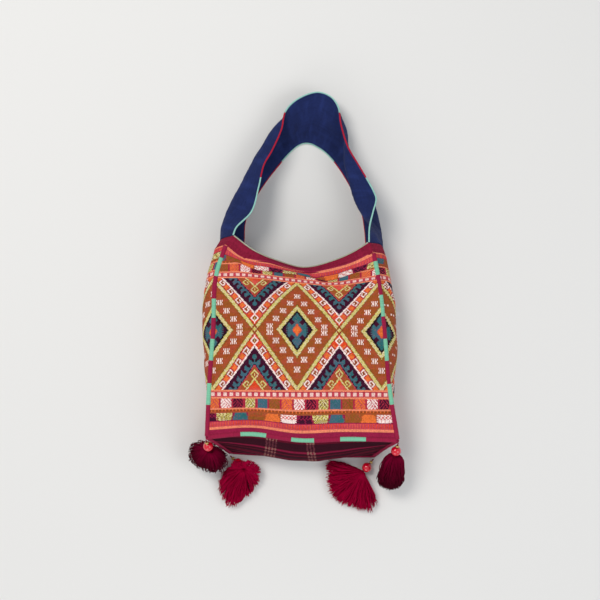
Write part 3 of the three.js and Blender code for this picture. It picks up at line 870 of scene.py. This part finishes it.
# Four places across the strap at each station along it, from the edge that stands up to the one on the ground
STRAP_STATIONS = np.array([
    [MOUTH_CORNERS[0], (-129, 166.5, 62), (-128, 148.5, 27), (-99, 127.5, GROUND_SEAM)],
    [(-104, 184, 82), (-127, 190, 60), (-119, 177, 25), (-96, 165, GROUND_EDGE)],
    [(-80, 210, 76), (-113, 225, 55), (-108, 215, 20), (-94, 198, GROUND_EDGE)],
    [(-69, 250, 66), (-98, 255, 48), (-94, 245, 17), (-82, 230, GROUND_EDGE)],
    [(-61, 286, 58), (-81, 292, 42), (-74, 281, 16), (-60, 265, GROUND_EDGE)],
    [(-48, 310, 54), (-62, 323, 39), (-53, 312, 15), (-39, 292, GROUND_EDGE)],
    [(-33, 345, 47), (-44, 352, 34), (-31, 335, 16), (-20, 314, GROUND_EDGE)],
    [(-26, 376, 41), (-23, 366, 34), (-13, 345, 17), (-7, 325, GROUND_EDGE)],
    [(-5, 397, 35), (-3, 380, 30), (1, 354, 16), (3, 329, GROUND_EDGE)],
    [(26, 408, 30), (22, 385, 27), (17, 357, 15), (14, 328.5, GROUND_EDGE)],
    [(47, 400, 33), (39, 379, 30), (31, 351, 16), (26, 323, GROUND_EDGE)],
    [(59, 382, 40), (59, 368, 34), (51, 340, 16), (38, 315, GROUND_EDGE)],
    [(63, 354, 46), (72, 348, 32), (68, 326, 13), (50, 303, GROUND_EDGE)],
    [(74, 316, 54), (68, 314, 45), (81, 300, 20), (64, 285, GROUND_EDGE)],
    [(90, 287, 60), (69, 288, 48), (90, 277, 22), (78, 262, GROUND_EDGE)],
    [(103, 264, 65), (74, 265, 51), (105, 252, 24), (91, 238, GROUND_EDGE)],
    [(114, 243, 70), (80, 244, 53), (117, 229, 26), (100, 212, GROUND_EDGE)],
    [(118, 230, 73), (86, 227, 55), (123, 208, 28), (104, 188, GROUND_EDGE)],
    [(113, 210, 78), (97, 206, 61), (128, 186, 30), (106, 164, GROUND_EDGE)],
    [(107, 185, 82), (113, 182, 66), (131, 165, 31), (105, 140, GROUND_EDGE)],
    [MOUTH_CORNERS[1], (126, 158.5, 62), (130, 142.5, 30), (104, 116.5, GROUND_SEAM)],
])
STRAP_LINES = [Curve(STRAP_STATIONS[:, row]) for row in range(4)]


def strap():
    """One broad band from the top of one gusset to the other, lying on its edge and half folded over."""
    columns, rows = 44, 280
    grid = np.zeros((rows, columns, 3))
    along = np.linspace(0, 1, rows)
    across = np.linspace(0, 1, columns)
    for j, share in enumerate(along):
        section = Curve([line.by_station(share) for line in STRAP_LINES], spans=16)
        inset = 0.5 / section.length
        grid[j] = section.at(inset + (1 - 2 * inset) * across)
    reach = distance_along(grid[:, columns // 2])
    width = np.linalg.norm(np.diff(grid, axis=1), axis=2).sum(axis=1)
    flat_x = across[None] * width[:, None]
    flat_y = reach[:, None] + 0 * flat_x
    edge = np.sin(math.pi * across)[None] ** 0.7 * np.sin(math.pi * along)[:, None] ** 0.3
    wave = crumple(flat_x * 1.6, flat_y, 51, longest=80, shortest=12, waves=9)
    fine = crumple(flat_x * 0.5, flat_y, 54, longest=22, shortest=7, waves=9)
    grid += grid_normals(grid) * ((1.8 * wave + 0.9 * fine) * edge)[..., None]
    j, i = np.mgrid[0 : rows - 1, 0 : columns - 1]
    random = np.random.default_rng(52)
    shade = 1 + random.normal(0, 0.05, i.shape) + random.normal(0, 0.04, (1, columns - 1))
    shade += 0.16 * crumple(i * 3.0, j * 2.0, 53, longest=90, shortest=20)
    shade += 0.5 * np.clip(crumple(i * 0.7, j * 2.0, 55, longest=24, shortest=6), 0, 1)
    tint = shaded(STRAP_NAVY, shade)
    return cloth_object("strap_cloth", grid, weave_places(flat_x, flat_y), tint, tint, STRAP_CLOTH)


# Tassels

# Each has its pivot, free cord and neck, the ways that its cord and its skirt point, and its bundle as rows
# of depth, half width and half thickness. The back two lie on the ground as fans, with an outline of degrees
# from the skirt's way and reach. Yarn that is over the head covers the tassel's own bead.
TASSELS = {
    "front_left": {
        "pivot": (-152, -152.5, 80), "cord": 5, "neck": 0.8,
        "hang": (0.12, -0.62, -0.78), "skirt": (-0.2, -0.42, -0.885),
        "rows": [
            (0, 5, 5), (3, 10, 9), (8, 16, 13), (15, 22, 18),
            (24, 27, 21.5), (34, 31, 24), (44, 32, 24), (50, 29, 22),
        ],
    },
    "front_right": {
        "pivot": (152.5, -157, 80), "cord": 5, "neck": 0.8,
        "hang": (-0.12, -0.75, -0.65), "skirt": (-0.1, -0.82, -0.56),
        "rows": [
            (0, 5, 5), (3, 10, 9), (8, 15, 13), (14, 18, 15),
            (28, 20, 17), (46, 21, 17), (62, 20.5, 15), (70, 18, 13),
        ],
    },
    "back_left": {
        "pivot": (-118, -187.5, 9.6), "cord": 3, "neck": 6,
        "hang": (0.72, -0.69, 0), "skirt": (-0.3, -0.954, 0), "over": True,
        "outline": [
            (-180, 17), (-151, 21), (-114, 28), (-81, 29), (-50, 37), (-10, 53), (-3, 66), (7, 70),
            (15, 66), (40, 51), (56, 42), (71, 28), (112, 22), (140, 16), (180, 17),
        ],
        "rows": [
            (0, 4.5, 4.5), (3, 10, 8.5), (8, 18, 9), (16, 26, 9),
            (26, 31, 9), (38, 32, 9), (50, 28, 8.5), (60, 16, 7),
        ],
    },
    "back_right": {
        "pivot": (118, -193, 9.6), "cord": 3, "neck": 0.8,
        "hang": (-0.62, -0.78, 0), "skirt": (-0.68, -0.73, 0), "over": False,
        "outline": [
            (-67, 48), (-63, 63), (-56, 68), (-33, 67), (-25, 63), (-9, 67),
            (8, 69), (46, 63), (58, 68), (66, 56), (72, 30),
        ],
        "rows": [
            (0, 4.5, 4.5), (2.5, 9, 8.5), (6, 18, 9), (12, 31, 9),
            (20, 42, 9), (32, 50, 9), (44, 47, 8.5), (62, 22, 7),
        ],
    },
}


def basis_along(direction):
    """Axes for a piece that hangs down, pointed along a direction with its width level."""
    back = -unit(np.asarray(direction, float))
    level = unit(np.cross([0, 0, 1.0], back))
    return np.stack([level, np.cross(back, level), back])


def bead(name, top, axes, radius, rim, colour):
    """A turned bead with its hole along the cord, and a low ridge round it where it has a rim."""
    start = math.asin(BORE / radius)
    angles = np.linspace(start, math.pi - start, 22)
    profile = [(radius * math.sin(a), radius * math.cos(a)) for a in angles]
    if rim:
        profile = [(r * (1 + 0.1 * math.exp(-((z / 0.5) ** 2))), z) for r, z in profile]
    inner = [(BORE, z) for z in np.linspace(profile[-1][1], profile[0][1], 4)[1:-1]]
    profile = np.array(profile + inner)
    turn = round_angles(40)[:, None]
    rings = np.stack(np.broadcast_arrays(
        profile[:, 0] * np.cos(turn), profile[:, 0] * np.sin(turn), profile[:, 1] - radius
    ), axis=2)
    number = np.arange(rings[..., 0].size).reshape(len(turn), -1)
    faces = quads(number, np.roll(number, -1, 0), flipped=True)
    rings = rings.reshape(-1, 3)
    return add_object(name, rings @ axes + top, faces, np.tile(colour, (len(faces), 1)), rings)


def bundle_lines(plan, random, count, t):
    """Centre lines of yarns that leave the head together and spread to the rows' width."""
    rows = np.array(plan["rows"], float)
    spread = np.sqrt(random.uniform(0.02, 1, count))
    angle = random.uniform(0, 2 * math.pi, count)
    start = 3.5 * (1 - spread) + 1.0
    end = rows[-1, 0] * (1.03 - 0.16 * spread**4) * random.uniform(0.93, 1.0, count)
    depth = start[:, None] + (end - start)[:, None] * t[None] ** 0.9
    line = np.zeros((count, len(t), 3))
    for axis, turn in ((0, np.cos(angle)), (1, np.sin(angle))):
        line[..., axis] = np.interp(depth, rows[:, 0], rows[:, axis + 1] - 0.5) * (spread * turn)[:, None]
    line[..., 2] = -depth
    return line


def fan_lines(plan, random, count, t):
    """Centre lines of yarns that lie on the ground and leave the head for an outline round it."""
    outline = np.array(plan["outline"], float)
    fine = np.linspace(outline[0, 0], outline[-1, 0], 721)
    reach_at = np.interp(fine, outline[:, 0], outline[:, 1])
    weight = np.cumsum(reach_at)
    share = np.sort(random.uniform(0, 1, count))
    degrees = np.interp(share * weight[-1], weight, fine)
    reach = np.interp(degrees, fine, reach_at) * random.uniform(0.9, 1.0, count)
    angle = np.radians(degrees) + random.normal(0, 0.03, count)
    level = random.uniform(-1, 1, count)
    reach = reach * (1 - 0.1 * np.abs(level))
    away = 1.0 + (reach[:, None] - 1.0) * t[None]
    swirl = 0.3 * np.sin(angle * 2.0)[:, None] * (1 - t)[None] if plan["over"] else 0.0
    line = np.zeros((count, len(t), 3))
    line[..., 0] = away * np.sin(angle[:, None] + swirl)
    line[..., 2] = -away * np.cos(angle[:, None] + swirl)
    line[..., 1] = np.interp(away, [0, 5, 15, 40, 70], [3.5, 7.5, 8.2, 8.0, 6.0]) * level[:, None]
    if plan["over"]:
        behind = ease(58, 84, np.abs(degrees))[:, None]
        high = 9.0 + 1.6 * random.uniform(0, 1, count)[:, None] - 3.0 * ease(22, 32, away)
        line[..., 1] = line[..., 1] * (1 - behind) + high * ease(-0.2, 0.35, t)[None] * behind
        crest = (np.abs(degrees) < 66)[:, None] * 2.0 * np.exp(-(away / 22) ** 2)
        line[..., 1] += crest * (level > 0)[:, None]
    return line


def strands(lines, t, random, locks):
    """Soft yarns along their centre lines, each swaying a little, with the faces' shades and shares along."""
    count, segments = lines.shape[:2]
    lock = np.arange(count) * locks // count
    own = random.uniform(0, 2 * math.pi, (count, 3, 3))
    shared = random.uniform(0, 2 * math.pi, (locks, 3, 3))[lock]
    sway = np.stack([
        sum(
            (np.sin(shared[:, k, n][:, None] + (n + 1.6) * 3.6 * t[None]) * 1.2
             + np.sin(own[:, k, n][:, None] + (n + 1.3) * 4.0 * t[None]) * 0.7) / (n + 1)
            for n in range(3)
        )
        for k in range(3)
    ], axis=2)
    line = lines + sway * (np.array([1.15, 0.6, 0.6]) * ease(0, 0.7, t)[:, None])[None]
    radii = YARN_RADIUS * random.uniform(0.8, 1.25, count)[:, None] * np.where(t > 0.97, 0.7, 1.0)[None]
    along = unit(np.gradient(line, axis=1))
    side = unit(np.cross(along, [0.3, 1.0, 0.1]))
    up = np.cross(side, along)
    twist = (round_angles(YARN_SIDES)[None, None] + 4.0 * t[None, :, None])[..., None]
    points = line[:, :, None] + (
        np.cos(twist) * side[:, :, None] + np.sin(twist) * up[:, :, None]
    ) * radii[..., None, None]
    number = np.arange(count * segments * YARN_SIDES).reshape(count, segments, YARN_SIDES)
    faces = quads(number[:, :-1], number[:, 1:])
    lock_shade = random.uniform(0.88, 1.14, locks)[lock]
    shade = np.repeat(lock_shade * random.uniform(0.82, 1.18, count), (segments - 1) * YARN_SIDES)
    tip = np.tile(np.repeat(t[1:], YARN_SIDES), count)
    caps = np.vstack([number[:, 0, ::-1], number[:, -1]])
    cap_shade = random.uniform(0.8, 1.2, 2 * count)
    return points.reshape(-1, 3), faces, shade, tip, caps, cap_shade


def solid_of_rows(rows, scale):
    """A closed bundle through rows of depth, half width and half thickness."""
    angles = round_angles(32)
    rows = np.array(rows, float)
    fine = np.linspace(rows[0, 0] + 1.0, rows[-1, 0] * 0.9, 20)
    wide, thick = (np.interp(fine, rows[:, 0], rows[:, k])[:, None] * scale for k in (1, 2))
    rings = np.broadcast_arrays(wide * np.cos(angles), thick * np.sin(angles), -fine[:, None])
    points = np.stack(rings, axis=2)
    number = np.arange(points[..., 0].size).reshape(len(fine), -1)
    faces = quads(number[:-1], number[1:], flipped=True).tolist()
    return points.reshape(-1, 3), faces + [number[0].tolist(), number[-1, ::-1].tolist()]


def tassel(corner, plan, top, seed):
    """The loose yarn of one tassel round a solid core darkened as painted shade, with a thread wound round
    its neck.
    """
    random = np.random.default_rng(seed)
    parts, colours, faces = [], [], []

    def add(points, added, shade):
        reached = sum(len(part) for part in parts)
        parts.append(points)
        faces.extend([[index + reached for index in face] for face in added])
        colours.append(shade)

    fan = "outline" in plan
    core_points, core_faces = solid_of_rows(plan["rows"], 0.48 if fan else 0.78)
    # Painted shade: the core is darkened to stand for the shade deep among the strands
    add(core_points, core_faces, np.full(len(core_faces), 0.7))

    turn = np.linspace(0, 2 * math.pi * 4, 4 * 22)
    wrap = np.stack([5.0 * np.cos(turn), 4.6 * np.sin(turn), -0.6 - 2.6 * turn / turn[-1]], axis=1)
    wrap_points, wrap_faces, wrap_ends = tube(wrap, 0.6, 8)
    add(wrap_points, [*wrap_faces.tolist(), *wrap_ends], np.full(len(wrap_faces) + 2, 1.1))

    t = np.linspace(0, 1, 13)
    lines = fan_lines(plan, random, 690, t) if fan else bundle_lines(plan, random, 540, t)
    points, quad_faces, shade, tip, caps, cap_shade = strands(lines, t, random, 60 if fan else 40)
    # Painted light: the front bundles are painted brighter near the head as a highlight and darker towards
    # the tips as shade; the fans grow a little lighter towards their tips
    shade = shade * (0.95 + 0.15 * tip) if fan else shade * np.clip(1.75 - 1.25 * tip, 0.6, 1.6)
    if fan:
        points[:, 1] = np.clip(points[:, 1], -9.2, 11.5 if plan["over"] else 9.2)
    if corner == "front_left":
        points[:, 0] *= np.where(points[:, 0] < 0, 1.22, 1.0)
    add(points, quad_faces.tolist() + caps.tolist(), np.concatenate([shade, cap_shade]))

    # The front bundles take the darker crimson, which is painted shade; the fans on the ground take the
    # crimson as lit
    tint = shaded(FAN_CRIMSON if fan else SHADED_BUNDLE_CRIMSON, np.concatenate(colours))
    local = np.vstack(parts)
    return add_object(corner + "_yarn", local @ basis_along(plan["skirt"]) + top, faces, tint, local)


def tassel_pieces(corner, plan, seed):
    """The cord, the two beads on it and the tassel, from a corner down, with their nodes and slots."""
    hang = unit(np.array(plan["hang"], float))
    axes = basis_along(hang)
    pivot = np.array(plan["pivot"], float)
    brass_top = plan["cord"] + BEAD_GAP
    red_top = brass_top + 2 * BRASS_RADIUS + BEAD_GAP
    skirt_top = red_top + 2 * RED_RADIUS + plan["neck"]
    cord_line = Curve([pivot + hang * (skirt_top + 1.5) * share for share in (0, 0.5, 1)])
    cord = wrapped_yarn(corner + "_cord", cord_line, CORD_RADIUS, 1.6, plain(CORD_WINE), sides=8, step=0.35)
    brass_bead = bead(corner + "_brass", pivot + hang * brass_top, axes, BRASS_RADIUS, True, BRASS_GOLD)
    red_bead = bead(corner + "_bead", pivot + hang * red_top, axes, RED_RADIUS, False, BEAD_RED)
    yarn = tassel(corner, plan, pivot + hang * skirt_top, seed)
    return [
        (cord, corner + "_tassel_cord", "tassel_yarn"),
        (brass_bead, corner + "_brass_bead", "brass"),
        (red_bead, corner + "_red_bead", "red_bead"),
        (yarn, corner + "_tassel", "tassel_yarn"),
    ]


# Materials

def material(
    name, roughness, fibre, fibre_scale, metallic=0.0, coat=0.0, sheen=0.0, rib=None, depth=0.0, gloss=0.12,
):
    """Colour from the mesh, with ribs of thread from its weave places and fibres from noise."""
    made = bpy.data.materials.new(name)
    made.use_nodes = True
    tree = made.node_tree

    def fill(node, inputs):
        """Gives a node its inputs, each a constant or another node's output."""
        for socket, value in inputs.items():
            if isinstance(value, bpy.types.NodeSocket):
                tree.links.new(value, node.inputs[socket])
            else:
                node.inputs[socket].default_value = value

    def add(kind, inputs, **settings):
        node = tree.nodes.new("ShaderNode" + kind)
        for setting, value in settings.items():
            setattr(node, setting, value)
        fill(node, inputs)
        return node.outputs

    tint = add("Attribute", {}, attribute_name="tint")["Color"]
    position = add("TexCoord", {})["Object"]
    noise = add("TexNoise", {"Vector": position, "Scale": fibre_scale, "Detail": 3.0})["Fac"]
    shade = add("MapRange", {"Value": noise, "To Min": 1 - fibre, "To Max": 1 + fibre})["Result"]
    colour = add("VectorMath", {0: tint, "Scale": shade}, operation="SCALE")["Vector"]
    shader = tree.nodes["Principled BSDF"]
    fill(shader, {
        "Base Color": colour, "Roughness": roughness, "Metallic": metallic, "Specular IOR Level": gloss,
        "Coat Weight": coat, "Coat Roughness": 0.08, "Sheen Weight": sheen, "Sheen Roughness": 0.5,
    })
    height = noise
    if rib:
        weave = add("Attribute", {}, attribute_name="weave")["Vector"]
        parts = add("SeparateXYZ", {"Vector": weave})
        waves = []
        for axis, pitch in zip("XY", rib):
            turns = add("Math", {0: parts[axis], 1: 2 * math.pi / pitch}, operation="MULTIPLY")["Value"]
            waves.append(add("Math", {0: turns}, operation="COSINE")["Value"])
        total = add("Math", dict(enumerate(waves)), operation="ADD")["Value"]
        height = add("Math", {0: total, 1: -0.25, 2: noise}, operation="MULTIPLY_ADD")["Value"]
    if depth:
        bump = add("Bump", {"Strength": 0.8, "Distance": depth, "Height": height})
        fill(shader, {"Normal": bump["Normal"]})
    return made


BROCADE = material("brocade", 0.88, fibre=0.16, fibre_scale=1500, sheen=0.03, rib=(1.0, 1.0), depth=0.0005)
STRIPED = material("striped_cloth", 0.92, fibre=0.15, fibre_scale=1200, rib=(1.1, 1.1), depth=0.0003)
HEM = material("hem_cloth", 0.9, fibre=0.18, fibre_scale=1200, sheen=0.02, rib=(1.2, 2.1), depth=0.0004)
STRAP = material("strap_cloth", 0.92, fibre=0.16, fibre_scale=1400, sheen=0.06, rib=(0.9, 0.9), depth=0.00028)
YARN = material("yarn", 0.85, fibre=0.18, fibre_scale=1600, sheen=0.05, depth=0.0003)
TASSEL = material("tassel_yarn", 0.9, fibre=0.15, fibre_scale=1800, depth=0.0002, gloss=0.05)
GLASS = material("red_bead", 0.16, fibre=0.05, fibre_scale=140, coat=0.7, gloss=0.5)
BRASS = material("brass", 0.32, fibre=0.08, fibre_scale=500, metallic=1.0, depth=0.00005, gloss=0.5)


# The pieces on their bodies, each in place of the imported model's node

def place(piece, body, slot, finish, *nodes):
    piece.data.materials.append(finish)
    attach(piece, body)
    if nodes:
        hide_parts(*nodes)
    return piece


LEFT_SEAM = [-147, -72.8, 18.9, 105.9, 157.0]
RIGHT_SEAM = [-152, -73.6, 17.3, 99.5, 145.0]

front_cloth = place(front_panel(), "bag", "brocade", BROCADE, "front_panel")
back_cloth = place(back_panel(), "bag", "brocade", BROCADE, "back_panel")
left_side = place(
    gusset("left_cloth", CORNER_LEFT, BAND_LEFT, FRONT_LEFT, BACK_LEFT, -9.5, -95.5, LEFT_SEAM, 23),
    "bag", "brocade", BROCADE, "left_gusset",
)
right_side = place(
    gusset("right_cloth", CORNER_RIGHT, BAND_RIGHT, FRONT_RIGHT, BACK_RIGHT, 9.5, 99, RIGHT_SEAM, 24),
    "bag", "brocade", BROCADE, "right_gusset",
)
bottom_cloth = place(bottom_panel(), "bag", "striped_cloth", STRIPED, "bottom_panel")
hem_cloth = place(hem(), "bag", "hem_cloth", HEM, "mouth_band")

for number, (name, (curve, axis, spans)) in enumerate(SEAMS.items()):
    place(seam(name, curve, axis, spans, 60 + number), "bag", "seam_yarn", YARN, name)

strap_cloth = place(strap(), "bag", "strap_cloth", STRAP, "strap")


def beyond_hem(curve):
    return Curve(curve.points + [0, 1.4, 0])


FRONT_EDGE = banded(1, [(265, 372.6)], CRIMSON, PALE_MINT, 71)
BACK_EDGE = banded(1, [(299, 420)], PALE_MINT, CRIMSON, 72)
MOUTH_EDGE = banded(1, [], PALE_GREEN, PALE_GREEN, 73)

for name, curve, radius, colours, cut, node in (
    ("strap_edge_front", STRAP_LINES[0], STRAP_EDGING, FRONT_EDGE, 1.0, "strap_edging_front"),
    ("strap_edge_back", STRAP_LINES[3], STRAP_EDGING, BACK_EDGE, 1.0, "strap_edging_back"),
    ("mouth_edge_front", beyond_hem(MOUTH_FRONT), MOUTH_EDGING, MOUTH_EDGE, 2.0, "mouth_edging_front"),
    ("mouth_edge_back", beyond_hem(MOUTH_BACK), MOUTH_EDGING, MOUTH_EDGE, 2.0, "mouth_edging_back"),
):
    edging = wrapped_yarn(name, curve, radius, 2.1, colours, cut, sides=10, step=0.58)
    place(edging, "bag", "edging_yarn", YARN, node)


def loose_thread():
    """A stray end of yarn that leaves the right side of the bag."""
    side = np.array([point.co[:] for point in right_side.data.vertices]) / MM
    start = side[np.argmin(np.linalg.norm(side - (150, 40, 56), axis=1))]
    steps = [(-0.6, 0, 0), (0.8, 3.5, 5), (1.6, 8, 8), (4.0, 9.5, 8), (5.2, 6.5, 6), (3.8, 4, 4)]
    line = Curve(start + np.array(steps))
    return wrapped_yarn("loose_thread", line, 0.45, 1.2, plain(LOOSE_THREAD), sides=6, step=0.4)


place(loose_thread(), "bag", "seam_yarn", YARN)

FINISHES = {"tassel_yarn": TASSEL, "brass": BRASS, "red_bead": GLASS}
for number, (corner, plan) in enumerate(TASSELS.items()):
    for piece, node, slot in tassel_pieces(corner, plan, 80 + number):
        place(piece, corner + "_hanging", slot, FINISHES[slot], node)


# Floor, light and camera

def stage():
    mesh = bpy.data.meshes.new("floor")
    mesh.from_pydata([(-6, -6, 0), (6, -6, 0), (6, 6, 0), (-6, 6, 0)], [], [(0, 1, 2, 3)])
    paint = bpy.data.materials.new("floor")
    paint.use_nodes = True
    shader = paint.node_tree.nodes["Principled BSDF"]
    shader.inputs["Base Color"].default_value = FLOOR_GREY
    shader.inputs["Roughness"].default_value = 0.8
    mesh.materials.append(paint)
    linked("floor", mesh)


def area_light(name, spot, target, size, power, colour=(1, 1, 1)):
    data = bpy.data.lights.new(name, "AREA")
    data.shape = "DISK"
    data.size = size
    data.energy = power
    data.color = colour
    light = linked(name, data)
    light.location = spot
    light.rotation_mode = "QUATERNION"
    light.rotation_quaternion = (Vector(spot) - Vector(target)).to_track_quat("Z", "Y")


stage()
area_light("key", (-1.1, 1.2, 2.4), (0, 0.05, 0), 1.2, 38, (1.0, 0.98, 0.95))
area_light("fill", (1.6, -0.6, 1.9), (0, 0.05, 0), 1.6, 14, (0.95, 0.97, 1.0))
area_light("low", (-0.6, -1.9, 1.0), (0, 0, 0), 1.2, 8)

world = bpy.data.worlds.new("world")
bpy.context.scene.world = world
world.use_nodes = True
world.node_tree.nodes["Background"].inputs["Color"].default_value = (0.9, 0.94, 1.0, 1)
world.node_tree.nodes["Background"].inputs["Strength"].default_value = 0.55

camera_data = bpy.data.cameras.new("camera")
camera_data.angle = math.radians(CAMERA_VIEW_DEGREES)
camera_data.clip_start = 0.05
camera_data.clip_end = 50
camera = linked("camera", camera_data)
camera.location = np.array(CAMERA_PLACE) * MM
bpy.context.scene.camera = camera
bpy.context.scene.view_settings.view_transform = "Standard"
